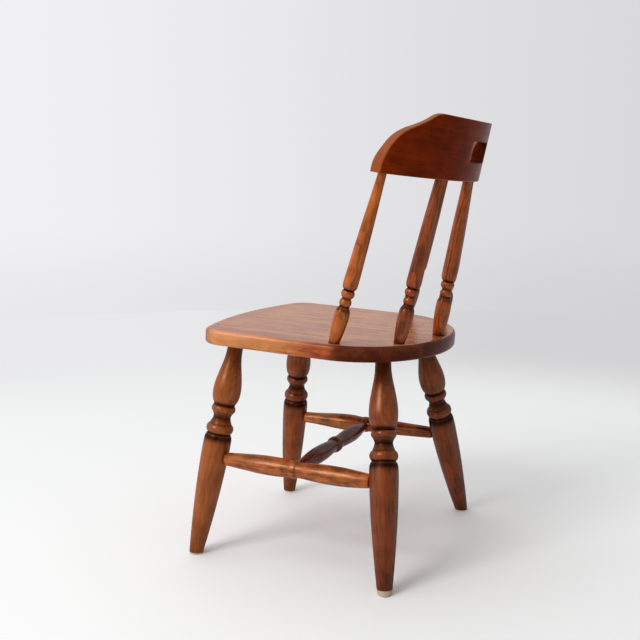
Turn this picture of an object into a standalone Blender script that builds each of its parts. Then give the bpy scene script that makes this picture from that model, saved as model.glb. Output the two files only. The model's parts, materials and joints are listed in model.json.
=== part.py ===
"""A child's turned wooden chair, spindle back, with a curved crest rail and a hand slot.

Metres, +Z up. The chair faces -Y, the sitter's left is +X, and the feet stand on z = 0.
Layout heights and depths are measured from the middle of the four feet; at the end the
whole chair is moved along Y so that its bounding box is centred on the origin.

The four legs are equal turnings. The rear ones lean out more than the front ones, so the
seat that rests on them slopes down a little to the back. Each joint is a round tenon in a
blind round socket with a small gap all round.
"""
import math

import bmesh
import bpy
from mathutils import Matrix, Vector

# Clearances
JOINT_GAP = 0.0003
SOCKET_FLOOR = 0.0042
CUT_OVERRUN = 0.004

# Feet and legs: the front feet stand inside the seat's sides and the rear feet outside
FRONT_FOOT_INSET = 0.0075
REAR_FOOT_OUTSET = 0.0167
FEET_DEPTH = 0.277
FRONT_SPLAY = math.radians(8.65)
FRONT_RAKE = math.radians(8.5)
REAR_SPLAY = math.radians(18.0)
REAR_RAKE = math.radians(7.75)
LEG_REACH = 0.2903
LEG_RADIUS = 0.0185
LEG_TENON_RADIUS = 0.0101
LEG_NECK_SHARE = 0.97

# Seat
SEAT_HALF_WIDTH = 0.152
SEAT_THICKNESS = 0.020
SEAT_FRONT = 0.142
SEAT_BACK = 0.163
SEAT_SIDE_END = 0.050
SEAT_FRONT_BOW = 0.014
SEAT_CORNER_RADIUS = 0.030
SEAT_EDGE_ROUND = 0.003

# Stretchers
STRETCHER_REACH = 0.1315
SIDE_STRETCHER_RADIUS = 0.0122
SIDE_TENON_RADIUS = 0.0062
SIDE_TENON_DEPTH = 0.013
CROSS_STRETCHER_RADIUS = 0.0112
CROSS_TENON_RADIUS = 0.0048
CROSS_TENON_DEPTH = 0.0075

# Spindles
SPINDLE_RADIUS = 0.0096
SPINDLE_FOOT_RADIUS = 0.0068
SPINDLE_TOP_RADIUS = 0.0053
SPINDLE_VASE_HEIGHT = 0.080
SPINDLE_INSET = 0.0150
SPINDLE_BASE_ANGLE = math.radians(85.4)

# Crest rail
CREST_RADIUS = 0.1590
CREST_THICKNESS = 0.0170
CREST_HEIGHT = 0.0757
CREST_SETBACK = 0.1834
CREST_RISE = 0.1924
CREST_TILT = math.radians(12.5)
CREST_BOTTOM_SLOPE = math.radians(4.4)
CREST_END_ANGLE = math.radians(56.95)
CREST_END_LEAN = math.radians(40.0)
SPINDLE_TOP_ANGLE = math.radians(54.8)
CREST_SOCKET_DEPTH = 0.018
CREST_EDGE_ROUND = 0.0015
SLOT_HALF_LENGTH = 0.0318
SLOT_HEIGHT = 0.0254
SLOT_CORNER_RADIUS = 0.0040

# Leg outline from the floor up: share of the reach to the seat, share of the largest radius
LEG_PROFILE_SHARES = (
    (0.000, 0.485), (0.048, 0.570), (0.110, 0.663), (0.172, 0.746), (0.234, 0.822),
    (0.300, 0.889), (0.365, 0.940), (0.430, 0.976), (0.484, 0.998), (0.515, 0.993),
    (0.535, 0.972), (0.549, 0.930), (0.560, 0.870), (0.567, 0.930), (0.576, 0.970),
    (0.587, 0.970), (0.597, 0.910), (0.606, 0.790), (0.620, 0.680), (0.636, 0.624),
    (0.650, 0.680), (0.660, 0.810), (0.667, 0.855), (0.678, 0.855), (0.692, 0.770),
    (0.704, 0.845), (0.725, 0.945), (0.761, 1.000), (0.800, 0.948), (0.841, 0.836),
    (0.882, 0.697), (0.937, 0.560),
)

# Side stretcher, centre to end: share of the half length, share of the largest radius
SIDE_STRETCHER_SHARES = (
    (0.000, 0.950), (0.028, 0.930), (0.045, 0.850), (0.070, 0.850), (0.120, 0.880),
    (0.200, 0.935), (0.310, 0.985), (0.420, 1.000), (0.550, 0.965), (0.690, 0.895),
    (0.830, 0.815), (0.940, 0.750), (0.990, 0.690), (1.000, 0.610),
)

# Cross stretcher, centre to end, in the same shares
CROSS_STRETCHER_SHARES = (
    (0.000, 1.000), (0.035, 0.975), (0.060, 0.820), (0.085, 0.795), (0.200, 0.850),
    (0.360, 0.945), (0.500, 0.995), (0.600, 0.985), (0.740, 0.895), (0.880, 0.725),
    (0.970, 0.605), (1.000, 0.520),
)

# Lower part of a spindle, seat to shaft: share of the turned height, share of the radius
SPINDLE_VASE_SHARES = (
    (0.100, 0.820), (0.250, 0.950), (0.410, 1.000), (0.520, 0.950),
    (0.590, 0.790), (0.628, 0.640), (0.652, 0.725), (0.682, 0.780), (0.716, 0.710),
    (0.747, 0.640), (0.785, 0.790), (0.821, 0.870), (0.855, 0.780), (0.877, 0.665),
    (0.900, 0.810), (0.938, 0.945), (1.000, 0.990),
)

# Shaft of a spindle above that: share of the shaft's length, share of the largest radius
SPINDLE_SHAFT_SHARES = ((0.270, 0.915), (0.620, 0.760))

# Side of the crest rail from the bottom corner up: share of half width, share of height
CREST_SIDE_SHARES = (
    (1.000, 0.000), (0.998, 0.080), (0.982, 0.215), (0.955, 0.340), (0.908, 0.475),
    (0.846, 0.585), (0.765, 0.668), (0.670, 0.738), (0.552, 0.842), (0.484, 0.918),
    (0.431, 0.968), (0.356, 1.000),
)

# Cross stretcher's place along the side stretchers, and each spindle's share of the spread
CROSS_PLACE_SHARE = 0.495
SPINDLE_NAMES = ("far_left", "left", "centre", "right", "far_right")
SPINDLE_PLACE_SHARES = (1.0, 0.47, 0.0, -0.47, -1.0)

# Numbers of facets
LEG_SEGMENTS = 20
STRETCHER_SEGMENTS = 16
SPINDLE_SEGMENTS = 16
SOCKET_SEGMENTS = 16
ARC_STEP = math.radians(5.0)
SLOT_ARC_STEP = math.radians(30.0)
BEVEL_SEGMENTS = 2
CURVE_STEPS = 2
FLAT_ANGLE = math.radians(0.5)
MERGE_DISTANCE = 0.00002


def start_scene():
    """Remove every object and return the collections for the parts and for the cutters."""
    for leftover in list(bpy.data.objects):
        bpy.data.objects.remove(leftover, do_unlink=True)
    scene = bpy.context.scene
    scene.unit_settings.system = "METRIC"
    parts = bpy.data.collections.new("wooden_child_chair")
    cutters = bpy.data.collections.new("cutters")
    scene.collection.children.link(parts)
    scene.collection.children.link(cutters)
    origin = bpy.data.objects.new("chair_origin", None)
    parts.objects.link(origin)
    return parts, cutters, origin


PARTS, CUTTERS, ORIGIN = start_scene()


def wood(name, colour, roughness):
    """Stained and lacquered wood of one shade."""
    material = bpy.data.materials.new(name)
    material.use_nodes = True
    shader = material.node_tree.nodes["Principled BSDF"]
    shader.inputs["Base Color"].default_value = (*colour, 1.0)
    shader.inputs["Roughness"].default_value = roughness
    shader.inputs["Metallic"].default_value = 0.0
    material.diffuse_color = (*colour, 1.0)
    return material


def add_part(name, mesh, material):
    """A piece of the chair, hung from the chair's origin."""
    piece = bpy.data.objects.new(name, mesh)
    PARTS.objects.link(piece)
    piece.parent = ORIGIN
    mesh.materials.append(material)
    return piece


def add_cutter(name, mesh):
    """A shape that only cuts others, drawn as wire and left out of the chair."""
    cutter = bpy.data.objects.new(name, mesh)
    CUTTERS.objects.link(cutter)
    cutter.parent = ORIGIN
    cutter.hide_render = True
    cutter.display_type = "WIRE"
    return cutter


def aim(piece, start, direction):
    """Put the piece's own origin at start, with its own Z along direction."""
    piece.location = start
    piece.rotation_mode = "QUATERNION"
    piece.rotation_quaternion = direction.to_track_quat("Z", "Y")


def boolean(piece, cutter, operation="DIFFERENCE"):
    """Cut the piece by the cutter, or keep what both share."""
    modifier = piece.modifiers.new(operation.lower() + "_" + cutter.name, "BOOLEAN")
    modifier.operation = operation
    modifier.solver = "EXACT"
    modifier.object = cutter


def turn(name, outline, segments, material):
    """A turned piece: outline holds (radius, height) from its top end to its bottom end."""
    mesh = bpy.data.meshes.new(name)
    closed = [(0.0, outline[0][1])] + list(outline) + [(0.0, outline[-1][1])]
    points = [(radius, 0.0, height) for radius, height in closed]
    links = [(index, index + 1) for index in range(len(points) - 1)]
    mesh.from_pydata(points, links, [])
    piece = add_part(name, mesh, material)
    screw = piece.modifiers.new("turning", "SCREW")
    screw.axis = "Z"
    screw.angle = math.tau
    screw.steps = segments
    screw.render_steps = segments
    screw.use_merge_vertices = True
    screw.merge_threshold = MERGE_DISTANCE
    screw.use_smooth_shade = True
    return piece


def peg_cutter(name, start, end, radius):
    """A round cutter from start to end, with the middle of each facet at the radius."""
    axis = end - start
    corner = radius / math.cos(math.pi / SOCKET_SEGMENTS)
    mesh = bpy.data.meshes.new(name)
    shape = bmesh.new()
    raised = Matrix.Translation((0.0, 0.0, axis.length / 2))
    bmesh.ops.create_cone(shape, cap_ends=True, segments=SOCKET_SEGMENTS, radius1=corner,
                          radius2=corner, depth=axis.length, matrix=raised)
    shape.to_mesh(mesh)
    shape.free()
    cutter = add_cutter(name, mesh)
    aim(cutter, start, axis)
    return cutter


def block_cutter(name, low, high):
    """A box cutter between two opposite corners."""
    mesh = bpy.data.meshes.new(name)
    size = high - low
    middle = Matrix.Translation((low + high) / 2) @ Matrix.Diagonal((*size, 1.0))
    shape = bmesh.new()
    bmesh.ops.create_cube(shape, size=1.0, matrix=middle)
    shape.to_mesh(mesh)
    shape.free()
    return add_cutter(name, mesh)


def plate_mesh(name, outline, thickness):
    """Mesh of a flat outline in XY, thick along Z and centred on z = 0."""
    curve = bpy.data.curves.new(name + "_outline", "CURVE")
    curve.dimensions = "2D"
    curve.fill_mode = "BOTH"
    curve.extrude = thickness / 2
    spline = curve.splines.new("POLY")
    spline.points.add(len(outline) - 1)
    for knot, place in zip(spline.points, outline):
        knot.co = (*place, 0.0, 1.0)
    spline.use_cyclic_u = True
    holder = bpy.data.objects.new(name + "_curve", curve)
    CUTTERS.objects.link(holder)
    bpy.context.view_layer.update()
    evaluated = holder.evaluated_get(bpy.context.evaluated_depsgraph_get())
    mesh = bpy.data.meshes.new_from_object(evaluated)
    mesh.name = name
    bpy.data.objects.remove(holder)
    shape = bmesh.new()
    shape.from_mesh(mesh)
    bmesh.ops.remove_doubles(shape, verts=shape.verts, dist=MERGE_DISTANCE)
    bmesh.ops.dissolve_limit(shape, angle_limit=FLAT_ANGLE, verts=shape.verts,
                             edges=shape.edges)
    bmesh.ops.recalc_face_normals(shape, faces=shape.faces)
    shape.to_mesh(mesh)
    shape.free()
    return mesh


def arc_points(centre, radii, start, end, step=ARC_STEP):
    """Points on an ellipse arc about centre, from angle start to angle end."""
    count = max(1, round(abs(end - start) / step))
    angles = [start + (end - start) * index / count for index in range(count + 1)]
    return [(centre[0] + radii[0] * math.cos(angle), centre[1] + radii[1] * math.sin(angle))
            for angle in angles]


def leg_radius_at(distance):
    """Radius of a leg at a distance from the floor along its axis, by the outline shares."""
    share = distance / LEG_REACH
    for (low, low_radius), (high, high_radius) in zip(LEG_PROFILE_SHARES,
                                                      LEG_PROFILE_SHARES[1:]):
        if low <= share <= high:
            blend = (share - low) / (high - low)
            return LEG_RADIUS * (low_radius + (high_radius - low_radius) * blend)
    return LEG_TENON_RADIUS


class Axis:
    """A straight line that a turned piece follows, from a start point along a direction."""

    def __init__(self, start, direction):
        self.start = Vector(start)
        self.direction = Vector(direction).normalized()

    def at(self, distance):
        return self.start + self.direction * distance


def leg_axis(side, front):
    """Axis of one leg from its foot on the floor: side is 1 on the left, -1 on the right."""
    out = SEAT_HALF_WIDTH - FRONT_FOOT_INSET if front else SEAT_HALF_WIDTH + REAR_FOOT_OUTSET
    splay = FRONT_SPLAY if front else REAR_SPLAY
    rake = FRONT_RAKE if front else -REAR_RAKE
    depth = -FEET_DEPTH / 2 if front else FEET_DEPTH / 2
    return Axis((side * out, depth, 0.0), (-side * math.tan(splay), math.tan(rake), 1.0))


LEG_AXES = {
    ("front", "left"): leg_axis(1, True),
    ("front", "right"): leg_axis(-1, True),
    ("rear", "left"): leg_axis(1, False),
    ("rear", "right"): leg_axis(-1, False),
}


def seat_plane():
    """Slope of the seat and the height of its underside over the middle of the feet."""
    front = LEG_AXES["front", "left"].at(LEG_REACH)
    rear = LEG_AXES["rear", "left"].at(LEG_REACH)
    slope = math.atan2(front.z - rear.z, rear.y - front.y)
    return slope, front.z + front.y * math.tan(slope)


SEAT_SLOPE, SEAT_UNDERSIDE = seat_plane()
SEAT_TOP = SEAT_UNDERSIDE + SEAT_THICKNESS / math.cos(SEAT_SLOPE)
SEAT_NORMAL = Vector((0.0, math.sin(SEAT_SLOPE), math.cos(SEAT_SLOPE)))


def blind_depth(direction, radius):
    """How far a leaning tenon goes into the seat with the socket floor still whole."""
    lean = SEAT_NORMAL.angle(direction)
    depth = (SEAT_THICKNESS - SOCKET_FLOOR - JOINT_GAP) / math.cos(lean)
    return depth - (radius + JOINT_GAP) * math.tan(lean)


def seat_outline():
    """Seat outline: half-ellipse back, straight sides, round corners and a bowed front."""
    inner = SEAT_HALF_WIDTH - SEAT_CORNER_RADIUS
    bow_radius = (inner ** 2 + SEAT_FRONT_BOW ** 2) / (2 * SEAT_FRONT_BOW)
    bow_centre = bow_radius - SEAT_FRONT
    # Each corner arc touches the front bow from inside and meets the straight side
    corner_y = bow_centre - math.sqrt((bow_radius - SEAT_CORNER_RADIUS) ** 2 - inner ** 2)
    touch = math.atan2(corner_y - bow_centre, inner)
    corner = (SEAT_CORNER_RADIUS, SEAT_CORNER_RADIUS)
    back = arc_points((0.0, SEAT_SIDE_END), (SEAT_HALF_WIDTH, SEAT_BACK - SEAT_SIDE_END),
                      0.0, math.pi)
    right = arc_points((-inner, corner_y), corner, -math.pi, -math.pi - touch)
    front = arc_points((0.0, bow_centre), (bow_radius, bow_radius), -math.pi - touch, touch)
    left = arc_points((inner, corner_y), corner, touch, 0.0)
    return back + right + front[1:-1] + left


def make_seat(material):
    """Flat seat board with rounded edges, sloping down to the back."""
    mesh = plate_mesh("seat", seat_outline(), SEAT_THICKNESS)
    mesh.transform(Matrix.Translation((0.0, 0.0, SEAT_THICKNESS / 2)))
    seat = add_part("seat", mesh, material)
    seat.location = (0.0, 0.0, SEAT_UNDERSIDE)
    seat.rotation_euler = (-SEAT_SLOPE, 0.0, 0.0)
    rounding = seat.modifiers.new("rounded_edges", "BEVEL")
    rounding.width = SEAT_EDGE_ROUND
    rounding.segments = BEVEL_SEGMENTS
    rounding.limit_method = "ANGLE"
    rounding.angle_limit = math.radians(60)
    return seat


def make_leg(end, side, material, floor):
    """Turned leg along its leaning axis, its foot cut level with the floor."""
    axis = LEG_AXES[end, side]
    tenon = blind_depth(axis.direction, LEG_TENON_RADIUS)
    outline = [(LEG_TENON_RADIUS, LEG_REACH + tenon)]
    outline += [(LEG_TENON_RADIUS, LEG_REACH * LEG_NECK_SHARE)]
    outline += [(LEG_RADIUS * radius, LEG_REACH * height)
                for height, radius in reversed(LEG_PROFILE_SHARES)]
    foot_radius = LEG_RADIUS * LEG_PROFILE_SHARES[0][1]
    outline += [(foot_radius, -foot_radius)]
    leg = turn("leg_" + end + "_" + side, outline, LEG_SEGMENTS, material)
    aim(leg, axis.start, axis.direction)
    boolean(leg, floor)
    return leg


def span_outline(half_shares, radius, centre, halves, tenon_radius, ends):
    """Outline of a stretcher, (radius, height) from its far end back to its near end.

    halves holds the far and near half lengths of the body, ends the two tenon ends.
    """
    far, near = halves
    outline = [(tenon_radius, ends[0]), (tenon_radius, centre + far)]
    outline += [(radius * r, centre + far * s) for s, r in reversed(half_shares)]
    outline += [(radius * r, centre - near * s) for s, r in half_shares[1:]]
    outline += [(tenon_radius, centre - near), (tenon_radius, ends[1])]
    return outline


def cope_allowance(direction, other, shoulder_radius):
    """Room that a square shoulder needs against a round piece leaning past it."""
    lean = abs(math.pi / 2 - direction.angle(other))
    return JOINT_GAP + shoulder_radius * math.tan(lean)


def make_side_stretcher(side, material):
    """Side stretcher between the front and rear legs, with a socket cut in each leg."""
    start = LEG_AXES["front", side].at(STRETCHER_REACH)
    end = LEG_AXES["rear", side].at(STRETCHER_REACH)
    axis = Axis(start, end - start)
    length = (end - start).length
    shoulder = SIDE_STRETCHER_RADIUS * SIDE_STRETCHER_SHARES[-1][1]
    # The legs swell upwards here, so each shoulder clears them at its own upper edge
    leg_radius = leg_radius_at(STRETCHER_REACH + shoulder)
    stop = leg_radius - SIDE_TENON_DEPTH
    centre = length * CROSS_PLACE_SHARE
    rear_room = cope_allowance(axis.direction, LEG_AXES["rear", side].direction, shoulder)
    front_room = cope_allowance(axis.direction, LEG_AXES["front", side].direction, shoulder)
    halves = (length - centre - leg_radius - rear_room, centre - leg_radius - front_room)
    outline = span_outline(SIDE_STRETCHER_SHARES, SIDE_STRETCHER_RADIUS, centre, halves,
                           SIDE_TENON_RADIUS, (length - stop, stop))
    piece = turn("side_stretcher_" + side, outline, STRETCHER_SEGMENTS, material)
    aim(piece, axis.start, axis.direction)
    near = stop - JOINT_GAP
    reach = leg_radius + CUT_OVERRUN
    radius = SIDE_TENON_RADIUS + JOINT_GAP
    sockets = {
        "front": peg_cutter("socket_front_leg_" + side, axis.at(near), axis.at(reach), radius),
        "rear": peg_cutter("socket_rear_leg_" + side, axis.at(length - near),
                           axis.at(length - reach), radius),
    }
    return piece, sockets, axis.at(centre)


def make_cross_stretcher(left_point, right_point, material):
    """Middle stretcher between the two side stretchers, and the sockets for its tenons."""
    axis = Axis(left_point, right_point - left_point)
    length = (right_point - left_point).length
    ring = SIDE_STRETCHER_RADIUS * SIDE_STRETCHER_SHARES[0][1]
    stop = ring - CROSS_TENON_DEPTH
    centre = length / 2
    half = centre - ring - JOINT_GAP
    outline = span_outline(CROSS_STRETCHER_SHARES, CROSS_STRETCHER_RADIUS, centre,
                           (half, half), CROSS_TENON_RADIUS, (length - stop, stop))
    piece = turn("cross_stretcher", outline, STRETCHER_SEGMENTS, material)
    aim(piece, axis.start, axis.direction)
    near = stop - JOINT_GAP
    reach = ring + CUT_OVERRUN
    radius = CROSS_TENON_RADIUS + JOINT_GAP
    sockets = {
        "left": peg_cutter("socket_side_left", axis.at(near), axis.at(reach), radius),
        "right": peg_cutter("socket_side_right", axis.at(length - near),
                            axis.at(length - reach), radius),
    }
    return sockets


def crest_matrix():
    """Crest frame: origin at the bottom centre of the rail, X across, Z up its lean."""
    place = Matrix.Translation((0.0, CREST_SETBACK, SEAT_TOP + CREST_RISE))
    return place @ Matrix.Rotation(-CREST_TILT, 4, "X")


def crest_bottom_point(angle):
    """Point where the middle of the rail's thickness meets its sloping bottom."""
    depth = CREST_RADIUS * (math.cos(angle) - 1.0)
    bottom = depth * math.tan(CREST_BOTTOM_SLOPE)
    return crest_matrix() @ Vector((CREST_RADIUS * math.sin(angle), depth, bottom))


def through_points(knots, steps):
    """Smooth open line through the knots (Catmull-Rom), with steps points per span."""
    padded = [knots[0]] + list(knots) + [knots[-1]]
    points = []
    for before, start, end, after in zip(padded, padded[1:], padded[2:], padded[3:]):
        for index in range(steps):
            t = index / steps
            points.append(tuple(
                0.5 * (2 * b + (c - a) * t + (2 * a - 5 * b + 4 * c - d) * t ** 2
                       + (3 * b - a - 3 * c + d) * t ** 3)
                for a, b, c, d in zip(before, start, end, after)))
    points.append(knots[-1])
    return points


def crest_plan():
    """The rail in plan: its two radii, its outer corner and how far round the band runs.

    The corner is (x, y) from the centre of the band's arc. The end cut runs from it to the
    inner face, leaning in, and the band runs on past that by the overrun.
    """
    outer = CREST_RADIUS + CREST_THICKNESS / 2
    inner = CREST_RADIUS - CREST_THICKNESS / 2
    corner = (outer * math.sin(CREST_END_ANGLE), outer * math.cos(CREST_END_ANGLE))
    foot = corner[0] - corner[1] * math.tan(CREST_END_LEAN)
    inner_end = CREST_END_LEAN + math.asin(foot * math.cos(CREST_END_LEAN) / inner)
    return outer, inner, corner, inner_end + CUT_OVERRUN / inner


def crest_band_mesh():
    """Curved band of the rail: an arc in plan, its underside sloping as it is sawn."""
    outer, inner, _, spread = crest_plan()
    middle = (0.0, -CREST_RADIUS)
    first = math.pi / 2 - spread
    last = math.pi / 2 + spread
    outline = arc_points(middle, (outer, outer), first, last)
    outline += arc_points(middle, (inner, inner), last, first)
    height = CREST_HEIGHT + CUT_OVERRUN
    mesh = plate_mesh("crest_rail", outline, height)
    mesh.transform(Matrix.Translation((0.0, 0.0, height / 2)))
    for vertex in mesh.vertices:
        if vertex.co.z < height / 2:
            vertex.co.z = vertex.co.y * math.tan(CREST_BOTTOM_SLOPE)
    return mesh


def crest_face_mesh():
    """Front view of the rail as a block: stepped ogee ends, both cut leaning inwards."""
    _, inner, corner, spread = crest_plan()
    half_width = corner[0]
    knots = [(half_width * x, CREST_HEIGHT * z) for x, z in CREST_SIDE_SHARES]
    side = through_points(knots, CURVE_STEPS)
    below = -CREST_HEIGHT / 2
    outline = [(half_width, below)] + side
    outline += [(-x, z) for x, z in reversed(side)] + [(-half_width, below)]
    front = inner * math.cos(spread) - CREST_RADIUS
    depth = CREST_THICKNESS - front
    mesh = plate_mesh("crest_face", outline, depth)
    mesh.transform(Matrix.Rotation(math.pi / 2, 4, "X"))
    mesh.transform(Matrix.Translation((0.0, front + depth / 2, 0.0)))
    # Each end cut leans in towards the front from the rail's outer corner
    for vertex in mesh.vertices:
        ahead = corner[1] - CREST_RADIUS - vertex.co.y
        inwards = ahead * math.tan(CREST_END_LEAN)
        vertex.co.x -= math.copysign(1.0, vertex.co.x) * inwards
    return mesh


def slot_mesh():
    """Rounded block that cuts the hand slot through the middle of the rail."""
    across = SLOT_HALF_LENGTH - SLOT_CORNER_RADIUS
    up = SLOT_HEIGHT / 2 - SLOT_CORNER_RADIUS
    corner = (SLOT_CORNER_RADIUS, SLOT_CORNER_RADIUS)
    outline = []
    for turn_index, (x, z) in enumerate(((across, up), (-across, up), (-across, -up),
                                         (across, -up))):
        start = turn_index * math.pi / 2
        outline += arc_points((x, CREST_HEIGHT / 2 + z), corner, start, start + math.pi / 2,
                              SLOT_ARC_STEP)
    mesh = plate_mesh("hand_slot", outline, 4 * CREST_THICKNESS)
    mesh.transform(Matrix.Rotation(math.pi / 2, 4, "X"))
    return mesh


def make_crest(material):
    """Crest rail: the curved band, cut to its front view, slotted and eased at its edges."""
    crest = add_part("crest_rail", crest_band_mesh(), material)
    face = add_cutter("crest_face", crest_face_mesh())
    slot = add_cutter("hand_slot", slot_mesh())
    for piece in (crest, face, slot):
        piece.matrix_basis = crest_matrix()
    boolean(crest, face, "INTERSECT")
    boolean(crest, slot)
    easing = crest.modifiers.new("eased_edges", "BEVEL")
    easing.width = CREST_EDGE_ROUND
    easing.segments = BEVEL_SEGMENTS
    easing.limit_method = "ANGLE"
    easing.angle_limit = math.radians(45)
    return crest


def spindle_ends(place):
    """Where a spindle leaves the seat top and where it meets the underside of the rail."""
    angle = SPINDLE_BASE_ANGLE * place
    x = (SEAT_HALF_WIDTH - SPINDLE_INSET) * math.sin(angle)
    y = SEAT_SIDE_END + (SEAT_BACK - SEAT_SIDE_END - SPINDLE_INSET) * math.cos(angle)
    base = Vector((x, y, SEAT_TOP - y * math.tan(SEAT_SLOPE)))
    return base, crest_bottom_point(SPINDLE_TOP_ANGLE * place)


def make_spindle(label, place, material):
    """Turned back spindle, and the sockets for its two ends."""
    base, top = spindle_ends(place)
    axis = Axis(base, top - base)
    reach = (top - base).length
    depth = blind_depth(axis.direction, SPINDLE_FOOT_RADIUS)
    lean = SEAT_NORMAL.angle(axis.direction)
    clear = (SPINDLE_FOOT_RADIUS + JOINT_GAP) * math.tan(lean) + JOINT_GAP
    shaft = reach - SPINDLE_VASE_HEIGHT
    outline = [(SPINDLE_TOP_RADIUS, reach + CREST_SOCKET_DEPTH), (SPINDLE_TOP_RADIUS, reach)]
    outline += [(SPINDLE_RADIUS * radius, SPINDLE_VASE_HEIGHT + shaft * height)
                for height, radius in reversed(SPINDLE_SHAFT_SHARES)]
    outline += [(SPINDLE_RADIUS * radius, SPINDLE_VASE_HEIGHT * height)
                for height, radius in reversed(SPINDLE_VASE_SHARES)]
    outline += [(SPINDLE_FOOT_RADIUS, clear), (SPINDLE_FOOT_RADIUS, -depth)]
    spindle = turn("spindle_" + label, outline, SPINDLE_SEGMENTS, material)
    aim(spindle, axis.start, axis.direction)
    seat_socket = peg_cutter("socket_seat_spindle_" + label, axis.at(-depth - JOINT_GAP),
                             axis.at(clear + CUT_OVERRUN), SPINDLE_FOOT_RADIUS + JOINT_GAP)
    crest_socket = peg_cutter("socket_crest_" + label, axis.at(reach - CUT_OVERRUN),
                              axis.at(reach + CREST_SOCKET_DEPTH + JOINT_GAP),
                              SPINDLE_TOP_RADIUS + JOINT_GAP)
    return seat_socket, crest_socket


def floor_block():
    """Block under the floor that cuts the feet level."""
    wide = 2 * (SEAT_HALF_WIDTH + REAR_FOOT_OUTSET)
    low = Vector((-wide, -wide, -wide))
    high = Vector((wide, wide, 0.0))
    return block_cutter("floor", low, high)


def centre_on_floor():
    """Move the whole chair along X and Y so that its bounding box is centred there."""
    bpy.context.view_layer.update()
    graph = bpy.context.evaluated_depsgraph_get()
    corners = []
    for piece in PARTS.objects:
        if piece.type == "MESH":
            shown = piece.evaluated_get(graph)
            corners += [shown.matrix_world @ vertex.co for vertex in shown.data.vertices]
    xs = [corner.x for corner in corners]
    ys = [corner.y for corner in corners]
    ORIGIN.location = (-(min(xs) + max(xs)) / 2, -(min(ys) + max(ys)) / 2, 0.0)


def build_chair():
    """Make every piece, cut the sockets and stand the chair on the origin."""
    seat_wood = wood("seat_wood", (0.300, 0.105, 0.036), 0.30)
    leg_wood = wood("leg_wood", (0.215, 0.060, 0.017), 0.32)
    stretcher_wood = wood("stretcher_wood", (0.235, 0.068, 0.020), 0.34)
    spindle_wood = wood("spindle_wood", (0.245, 0.070, 0.019), 0.32)
    crest_wood = wood("crest_wood", (0.120, 0.028, 0.009), 0.30)

    floor = floor_block()
    seat = make_seat(seat_wood)
    legs = {}
    for end, side in LEG_AXES:
        legs[end, side] = make_leg(end, side, leg_wood, floor)
        axis = LEG_AXES[end, side]
        depth = blind_depth(axis.direction, LEG_TENON_RADIUS)
        socket = peg_cutter("socket_seat_" + end + "_" + side,
                            axis.at(LEG_REACH - LEG_TENON_RADIUS),
                            axis.at(LEG_REACH + depth + JOINT_GAP),
                            LEG_TENON_RADIUS + JOINT_GAP)
        boolean(seat, socket)

    sides = {}
    centres = {}
    for side in ("left", "right"):
        piece, sockets, centres[side] = make_side_stretcher(side, stretcher_wood)
        sides[side] = piece
        for end, socket in sockets.items():
            boolean(legs[end, side], socket)
    sockets = make_cross_stretcher(centres["left"], centres["right"], stretcher_wood)
    for side, socket in sockets.items():
        boolean(sides[side], socket)

    crest = make_crest(crest_wood)
    for label, place in zip(SPINDLE_NAMES, SPINDLE_PLACE_SHARES):
        seat_socket, crest_socket = make_spindle(label, place, spindle_wood)
        boolean(seat, seat_socket)
        boolean(crest, crest_socket)
    centre_on_floor()


build_chair()
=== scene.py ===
# %% [markdown]
# # A child's turned wooden chair
#
# Four turned legs and five turned spindles stand round a flat seat board, with turned
# stretchers below and a curved, sawn rail above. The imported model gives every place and
# size. This script hangs finer surfaces and a stained wood finish on it, and then sets
# up a plain studio.

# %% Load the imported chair
import json
import math

import bpy
import numpy as np
from mathutils import Matrix, Vector


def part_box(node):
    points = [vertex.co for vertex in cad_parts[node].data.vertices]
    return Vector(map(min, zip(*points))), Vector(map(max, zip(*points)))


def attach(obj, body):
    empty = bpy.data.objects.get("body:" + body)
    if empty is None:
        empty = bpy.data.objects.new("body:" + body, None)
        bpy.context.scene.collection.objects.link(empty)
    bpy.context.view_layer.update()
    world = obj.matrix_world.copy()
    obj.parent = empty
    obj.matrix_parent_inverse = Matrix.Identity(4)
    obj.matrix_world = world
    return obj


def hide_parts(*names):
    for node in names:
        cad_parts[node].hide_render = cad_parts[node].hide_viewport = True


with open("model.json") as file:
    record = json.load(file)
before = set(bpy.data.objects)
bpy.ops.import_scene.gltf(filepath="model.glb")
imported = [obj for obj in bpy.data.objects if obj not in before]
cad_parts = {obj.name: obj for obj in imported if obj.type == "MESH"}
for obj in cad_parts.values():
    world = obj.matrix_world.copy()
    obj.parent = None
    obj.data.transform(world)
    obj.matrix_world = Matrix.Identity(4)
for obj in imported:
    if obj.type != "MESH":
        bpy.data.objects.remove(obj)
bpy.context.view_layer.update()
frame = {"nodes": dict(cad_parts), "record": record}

MM = 0.001

# %% [markdown]
# ## From a grid of points to a mesh
#
# Every piece here is one grid of points worked out with numpy. The columns run round the
# piece and always close. The rows either close too, like a ring doughnut, or end in a
# single point at each end. A modifier stack could make the same shapes, but a grid lets
# the finish follow the work: each point can also carry numbers that the material reads.

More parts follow.
